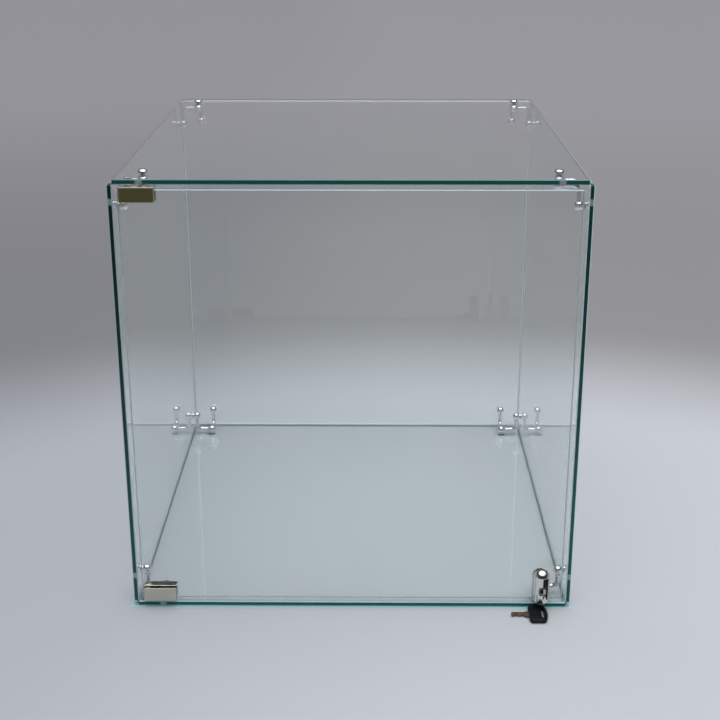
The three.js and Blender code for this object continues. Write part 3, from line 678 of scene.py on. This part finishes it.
for level, (face, up) in LEVELS.items():
    sign = up[2]

    def upright(x, y, height):
        return x, y, face + sign * height

    slot = Shell().skin(np.array([[upright(x, y, z) for y, z in slot_section]
                                  for x in (HINGE_X[0] - 5, HINGE_X[1] + 5)]), caps=True)
    pocket = sorted([face + sign * 4.7, face + sign * 14.3])
    cutters = [slot,
               Shell().box((PLATE_X[0], SLOT[1] - 0.4, pocket[0]),
                           (PLATE_X[1], SLOT[1] + 1.5, pocket[1])),
               Shell().turn([(-1, 0), (-1, BORE), (12, BORE), (12, 0)], (*PIVOT, face), up, 32)]
    cutters += [Shell().turn([(0, 0), (0, 2.2), (20, 2.2), (20, 0)],
                             (x, CLAMP_Y, face + sign * CLAMP_Z), Y, 32)
                for x in CLAMP_XS]
    body = Shell().slab(hinge_outline, hinge_rim, upright).build(f"hinge_body_{level}_look")
    dress(carve(body, cutters), f"hinge_body_{level}", "satin_steel", satin)
    for i, x in enumerate(CLAMP_XS, 1):
        screw = Shell().turn(clamp_screw, (x, CLAMP_Y + FIT, face + sign * CLAMP_Z), Y)
        dress(screw.build(f"clamp_screw_{level}_{i}_look"), f"clamp_screw_{level}_{i}",
              "steel", steel)
    bush = Shell().turn(pivot_ring, (*PIVOT, face), up)
    dress(bush.build(f"pivot_bush_{level}_look"), f"pivot_bush_{level}", "nylon", nylon)


# ---- Lock --------------------------------------------------------------------------------------

LOCK_R = 8.25
LOCK_LOW, LOCK_TOP = 10.0, 45.0
LOCK_DEPTH = 11.0
LOCK_AXIS = DOOR_FRONT - (LOCK_DEPTH - LOCK_R)
HOUSING_BACK = DOOR_FRONT - 1.2
PLUG_FACE = DOOR_FRONT - LOCK_DEPTH + 0.8
PLUG_R, RECESS_R = 3.9, 5.2
PLUG_BORE = PLUG_R + FIT
BOSS_R = 6.4
BOSS_END = DOOR_BACK + 1.4
CASE_FRONT, CASE_REAR = DOOR_BACK + 0.3, DOOR_BACK + 10.0
CASE_LOW, CAVITY_LOW, CAVITY_TOP, CAVITY_HALF = 6.8, 8.2, 30.5, 6.8
BOLT_BORE = 2.7
SCREW_BORE, CASE_SINK = 1.7, 3.2
SCREW_END = HOUSING_BACK - 4.8
AHEAD, BEYOND = -260, -200


def along_y(profile, x, z, sides=48):
    """Profile (y, radius) turned about a line through x, z."""
    return Shell().turn(profile, (x, 0, z), Y, sides)


def bullet(low, top, half):
    """Outline of flat base, straight sides and round top, in x and z about the lock."""
    base = rounded([(0, low), (half, low), (half, top - half)], (0, 1.1, 0))[:-1]
    crown = arc((0, top - half), half, 0, 180, 32)
    left = (base * [-1, 1])[::-1][:-1]
    return np.vstack([base, crown, left]) + [LOCK_X, 0]


housing_profile = np.vstack([
    rounded([(LOCK_LOW, 2), (LOCK_LOW, LOCK_R), (LOCK_LOW + 6, LOCK_R)], (0, 0.9, 0), 6)[1:-1],
    arc((0, 0), LOCK_R, 0, 88, 24)[:, ::-1] + [LOCK_TOP - LOCK_R, 0],
    [(LOCK_TOP, 0.0)],
])
# Each ring is half round in front and square at the back, where it meets the gasket.
z, r = housing_profile.T
half_turn = np.radians(np.linspace(0, -180, 33))
housing_rings = np.stack([
    LOCK_X + np.column_stack([r[:, None] * np.cos(half_turn), -r, r]),
    np.column_stack([LOCK_AXIS + r[:, None] * np.sin(half_turn),
                     np.full((len(r), 2), HOUSING_BACK)]),
    np.broadcast_to(z[:, None], (len(z), len(half_turn) + 2)),
], axis=-1)
housing = Shell().skin(housing_rings, caps=True).build("lock_housing_look")
carve(housing, [
    along_y([(AHEAD, 0), (AHEAD, RECESS_R), (PLUG_FACE, RECESS_R),
             (PLUG_FACE + 0.001, PLUG_BORE + 0.25), (PLUG_FACE + 0.25, PLUG_BORE),
             (BEYOND, PLUG_BORE), (BEYOND, 0)], LOCK_X, LOCK_Z, 64),
    *[along_y([(SCREW_END, 0), (SCREW_END, SCREW_BORE), (BEYOND, SCREW_BORE), (BEYOND, 0)], x,
              SCREW_Z, 32) for x in SCREW_XS]])
dress(housing, "lock_housing", "polished_chrome", polished)

boss_rows = threads(HOUSING_BACK, BOSS_END - 0.3, BOSS_R, 0.9)
boss = along_y([(HOUSING_BACK, PLUG_BORE), *boss_rows, (BOSS_END, BOSS_R - 0.3),
                (BOSS_END, PLUG_BORE), (HOUSING_BACK, PLUG_BORE)], LOCK_X, LOCK_Z)
fit_out(boss.build("lock_boss"), "door", "polished_chrome", polished)

gasket = Shell().slab(bullet(LOCK_LOW + 0.4, LOCK_TOP - 0.4, LOCK_R - 0.4), rim(0.6, 0.15),
                      lambda x, z, h: (x, h + HOUSING_BACK + 0.3, z)).build("lock_gasket_look")
carve(gasket, [along_y([(AHEAD, 0), (AHEAD, LOCK_HOLE), (BEYOND, LOCK_HOLE), (BEYOND, 0)],
                       LOCK_X, LOCK_Z)]
      + [along_y([(AHEAD, 0), (AHEAD, 2), (BEYOND, 2), (BEYOND, 0)], x, SCREW_Z, 32)
         for x in SCREW_XS])
dress(gasket, "lock_gasket", "fibre", fibre)

plug = along_y(rounded([(PLUG_FACE - FIT, 0), (PLUG_FACE - FIT, PLUG_R), (BOSS_END, PLUG_R),
                        (BOSS_END, 0)], (0, 0.35, 0.2, 0)), LOCK_X, LOCK_Z)
plug = plug.build("lock_plug_look")
carve(plug, [Shell().box((LOCK_X - 0.7, PLUG_FACE - 1, LOCK_Z - 3),
                         (LOCK_X + 0.7, PLUG_FACE + 9, LOCK_Z + 3))])
square = Shell().box((LOCK_X - 2, BOSS_END - 0.4, LOCK_Z - 2),
                     (LOCK_X + 2, BOSS_END + 1.5, LOCK_Z + 2)).build("lock_drive")
fit_out(square, "lock_barrel", "steel", steel)
dress(plug, "lock_plug", "satin_steel", satin)

case = Shell().slab(bullet(CASE_LOW, SCREW_Z + 4, LOCK_R), rim(CASE_REAR - CASE_FRONT, 0.6),
                    lambda x, z, h: (x, h + CASE_FRONT, z)).build("lock_bolt_case_look")
carve(case, [
    Shell().box((LOCK_X - CAVITY_HALF, CASE_FRONT - 1, CAVITY_LOW),
                (LOCK_X + CAVITY_HALF, CASE_REAR - 1.4, CAVITY_TOP)),
    Shell().turn([(0, 0), (0, BOLT_BORE), (LOCK_Z, BOLT_BORE), (LOCK_Z, 0)],
                 (LOCK_X, STRIKE_Y, 0), Z, 32),
    *[along_y([(CASE_FRONT - 1, 0), (CASE_FRONT - 1, SCREW_BORE), (CASE_REAR - 1.7, SCREW_BORE),
               (CASE_REAR, CASE_SINK), (CASE_REAR + 1, CASE_SINK), (CASE_REAR + 1, 0)],
              x, SCREW_Z, 32) for x in SCREW_XS]])
dress(case, "lock_bolt_case", "satin_steel", satin)

case_tip = SCREW_END + FIT - CASE_REAR
case_screw = flush_profile([(case_tip, 0), (case_tip, 1.1),
                            *threads(case_tip + 0.3, -1.8, 1.4, pitch=0.5, depth=0.15)],
                           sink_start=-1.7, radius=2.6, socket=0.9, depth=1.0)
for i, x in enumerate(SCREW_XS, 1):
    screw = Shell().turn(case_screw, (x, CASE_REAR, SCREW_Z), Y)
    dress(screw.build(f"lock_screw_{i}_look"), f"lock_screw_{i}", "steel", steel)

strike_ring = ring(2.8, wall=0.9, barrel=4.6, flange=5.2, height=0.8)
strike = Shell().turn(strike_ring, (LOCK_X, STRIKE_Y, FLOOR), Z)
dress(strike.build("strike_bush_look"), "strike_bush", "nylon", nylon)


# ---- Key ---------------------------------------------------------------------------------------

BOW_LENGTH, BOW_HALF, BOW_HEIGHT = 19.5, 14.25, 4.4
BOW_CORNER, BOW_BULGE = 4, 2.6
KEY_X, KEY_Y = LOCK_X - 13.9, DOOR_FRONT - 2.8 - BOW_HALF
bow_straight = BOW_LENGTH - BOW_BULGE


def beside_key(x, y, height):
    """Place of a point of the key, whose blade points towards -x from the bow's end at 0."""
    return KEY_X + x, KEY_Y + y, height


def curve(a, b, c, steps=10):
    """Quadratic curve (1-t)^2 a + 2t(1-t) b + t^2 c, without its first point."""
    t = np.linspace(0, 1, steps + 1)[1:, None]
    return (1 - t)**2 * np.array(a) + 2 * t * (1 - t) * np.array(b) + t**2 * np.array(c)


shoulder = bow_straight + BOW_BULGE / 3
turn_x, turn_y = bow_straight - BOW_CORNER, BOW_HALF - BOW_CORNER
bow_outline = np.vstack([
    arc((BOW_CORNER, -turn_y), BOW_CORNER, 180, 270, 8),
    curve((turn_x, -BOW_HALF), (bow_straight, -BOW_HALF), (shoulder, -turn_y)),
    curve((shoulder, -turn_y), (BOW_LENGTH + BOW_BULGE / 2, 0), (shoulder, turn_y), 16),
    curve((shoulder, turn_y), (bow_straight, BOW_HALF), (turn_x, BOW_HALF)),
    arc((BOW_CORNER, turn_y), BOW_CORNER, 90, 180, 8),
])
SLOT_WIDTH, SLOT_HALF = 2.6, 9
slot_x = BOW_LENGTH - 4.2 - SLOT_WIDTH
ring_slot = frame_outline(slot_x, -SLOT_HALF, slot_x + SLOT_WIDTH, SLOT_HALF, 1.2, 5)
ring_flare = np.array([(-0.45, -1), (-0.45, 0), (-0.12, 0.15), (0, 0.5), (0, 3.9), (-0.12, 4.25),
                       (-0.45, 4.4), (-0.45, 5.4)])
bow = Shell().slab(bow_outline, rim(BOW_HEIGHT, 1.3, 6), beside_key).build("key_bow_look")
carve(bow, [Shell().slab(ring_slot, ring_flare, beside_key),
            Shell().box(beside_key(-1, -4, 0.9), beside_key(8.3, 4, 3.5))])
dress(bow, "key_bow", "black_plastic", plastic)

TIP_HALF, NECK_HALF, BLADE_REACH = 2.3, 3.7, 18
CUT_DEPTHS, CUT_PITCH, CUT_SLOPE = (1.9, 0.8, 1.5), 3.4, 1.1
tip_centre = TIP_HALF - BLADE_REACH
starts = tip_centre + 1 + CUT_PITCH * np.arange(3)
cuts = np.vstack([[(start, -TIP_HALF), (start + CUT_SLOPE, depth - TIP_HALF),
                   (start + 2 * CUT_SLOPE, depth - TIP_HALF)]
                  for start, depth in zip(starts, CUT_DEPTHS)])
blade_outline = np.vstack([
    [(8, NECK_HALF), (-2, NECK_HALF), (-5, TIP_HALF)],
    arc((tip_centre, 0), TIP_HALF, 90, 270, 14), cuts,
    [(-5, -TIP_HALF), (-2, -NECK_HALF), (8, -NECK_HALF)]])
blade = Shell().slab(blade_outline, rim(2.0, 0.2, 2) + [0, 1.2], beside_key)
blade = blade.build("key_blade_look")
groove = [Shell().box(beside_key(-14.5, 0.5, 2.75), beside_key(-0.6, 1.3, 4))]
dress(carve(blade, groove), "key_blade", "brass", brass)


# ---- Hidden CAD nodes that keep their shape ----------------------------------------------------

for name in ("clamp_plate_bottom", "clamp_plate_top", "pivot_pin_bottom", "pivot_pin_top",
             "lock_cam", "lock_bolt"):
    frame["nodes"][name].data.materials.clear()
    frame["nodes"][name].data.materials.append(steel)


# ---- Floor, light and camera -------------------------------------------------------------------

def disc(name, radius, height):
    """Flat disc of rings about the origin."""
    rings = np.array([0, 0.05, 0.15, 0.4, 1.0]) * radius
    profile = np.stack([np.full_like(rings, height), rings], axis=1)
    return Shell().turn(profile, (0, 0, 0), Z, 96).build(name)


look, start, place = material("floor_pale")
x, y, _ = place.axes()
# Painted light and shade: the floor is lighter near the front and to the right, dimmer further
# back and to the left, and paler again far off.
distance = ((x - 0.08) * (x - 0.08) * 0.56 + (y + 0.25) * (y + 0.25)).math("SQRT")
far = distance.step(0.49, 0.93)
left = (0 - x).step(-0.15, 0.5)
near_colour = left.mix(paint(203, 206, 212), paint(179, 183, 189))
dim_colour = left.mix(paint(151, 150, 151), paint(135, 135, 139))
pale_colour = left.mix(paint(170, 168, 173), paint(165, 163, 169))
far_colour = distance.step(0.9, 3.6).mix(dim_colour, pale_colour)
mottle = place.noise(260, 3).mix(paint(252, 252, 252), paint(255, 255, 255))
colour = start.node("Mix", {"data_type": "RGBA", "blend_type": "MULTIPLY"},
                    {0: 1.0, 6: far.mix(near_colour, far_colour), 7: mottle}, 2)
# Painted light: a pale aqua glow on the floor along the foot of the case, standing for light that
# the glass edges let through.
outside = abs(x).math("MAXIMUM", abs(y)) - (HALF + 1) * MM
colour = (abs(outside).step(4 * MM, 0.0) * 0.55).mix(colour, paint(168, 236, 240))
# Painted reflection: seen in gloss only, the floor turns dark olive towards the studio's dark end,
# so the chrome mirrors a dark room.
colour = dark_end(start, x, y, 0.75, 1.7).mix(colour, paint(84, 80, 50))
finish(start, principled(start, Base_Color=colour, Roughness=0.75, Specular_IOR_Level=0.2))
floor = disc("floor", 8000, -0.2)
floor.data.materials.append(look)

world = bpy.data.worlds.new("studio")
bpy.context.scene.world = world
world.use_nodes = True
world.node_tree.nodes.clear()
start = Shade(world.node_tree)
x, y, height = start.node("TexCoord", output=0).axes()
horizon = dark_end(start, x, y, 0.1, 0.8).mix(paint(152, 150, 155), paint(52, 50, 42))
low_sky = height.step(0.27, 0.42).mix(horizon, paint(66, 64, 60))
OVERHEAD_SKY = (1.68, 1.71, 1.76, 1.0)
sky = height.step(0.63, 0.88).mix(low_sky, OVERHEAD_SKY)
start.node("OutputWorld", {}, {0: start.node("Background", {}, {"Color": sky})})


def lamp(name, place, target, size, power):
    """Square area lamp at a place, turned towards a target, in metres and watts."""
    light = bpy.data.lights.new(name, "AREA")
    light.size, light.energy = size, power
    spot = bpy.data.objects.new(name, light)
    away = np.array(place, float) - target
    away /= np.linalg.norm(away)
    u, v = square_to(away)
    spot.matrix_world = Matrix([[*row, p] for row, p in zip(np.stack([u, v, away]).T, place)]
                               + [[0, 0, 0, 1]])
    bpy.context.scene.collection.objects.link(spot)


lamp("overhead", (0.4, -0.15, 2.0), (0, 0, 0.2), 1.35, 10)

# A dark card beside the lock, which only gloss shows, draws the dark stripe down its front.
look, start, place = material("card_dark")
finish(start, principled(start, Base_Color=place.noise(4).mix(paint(46, 44, 36),
                                                              paint(60, 57, 46)), Roughness=0.9))
card = Shell().box((200, -263, -0.1), (223, -262, 34)).box((222, -261.9, -0.1), (223, -230, 34))
card = card.build("card")
card.data.materials.append(look)
card.visible_camera = card.visible_transmission = False
card.visible_diffuse = card.visible_shadow = False

# The camera stands where the case's glass edges in the photograph put it.
EYE = (0.0194, -1.3434, 0.7067)
FOCAL, SENSOR, SHIFT = 62.23, 36, -50 / 720
YAW, PITCH, ROLL = math.radians(-0.543), math.radians(18.906), math.radians(-0.06)
forward = np.array([math.sin(YAW) * math.cos(PITCH), math.cos(YAW) * math.cos(PITCH),
                    -math.sin(PITCH)])
level_right = np.array([math.cos(YAW), -math.sin(YAW), 0])
level_up = np.cross(level_right, forward)
right = math.cos(ROLL) * level_right + math.sin(ROLL) * level_up
up = np.cross(right, forward)
lens = bpy.data.cameras.new("camera")
lens.sensor_width, lens.lens, lens.shift_y = SENSOR, FOCAL, SHIFT
camera = bpy.data.objects.new("camera", lens)
camera.matrix_world = Matrix([[*row, p] for row, p in zip(np.stack([right, up, -forward]).T, EYE)]
                             + [[0, 0, 0, 1]])
bpy.context.scene.collection.objects.link(camera)
bpy.context.scene.camera = camera
bpy.context.scene.view_settings.view_transform = "Standard"
